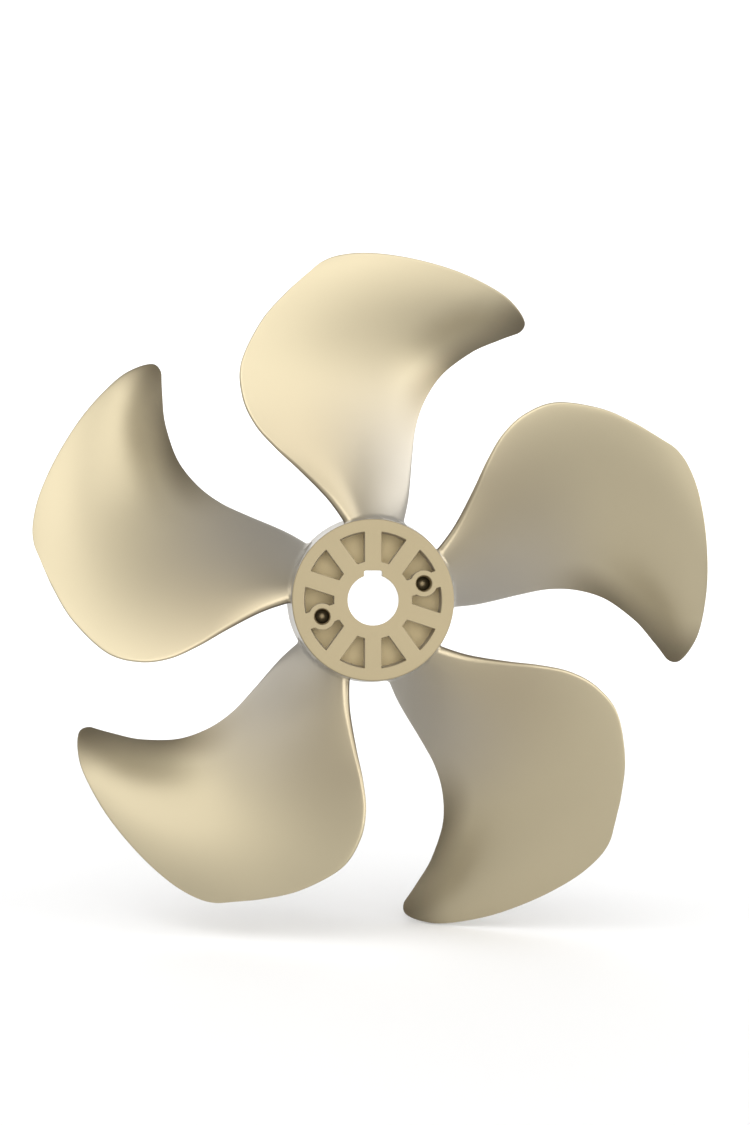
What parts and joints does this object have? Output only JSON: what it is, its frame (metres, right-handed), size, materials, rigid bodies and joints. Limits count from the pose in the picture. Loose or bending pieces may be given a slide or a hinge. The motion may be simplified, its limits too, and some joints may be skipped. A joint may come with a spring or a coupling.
{
  "type": "tunnel thruster propeller",
  "caption": "Skewed thruster propeller moulded in one piece with a keyed hub, whose front face has ribs, pockets and threaded puller bushes.",
  "frame": {"origin": "on the shaft axis, in the plane of the hub's rear face", "axes": "+Y along the shaft axis towards the rear, -Y out of the pocketed front face, +Z along the centre line of the upright blade, +X to the right seen from the front"},
  "size_m": [0.2416, 0.0494, 0.2422],
  "materials": {
    "moulding": "satin champagne gold",
    "bush": "darkened bronze"
  },
  "bodies": {
    "root": {"propeller_moulding": "moulding", "puller_bush_right": "bush", "puller_bush_left": "bush"}
  },
  "joints": []
}
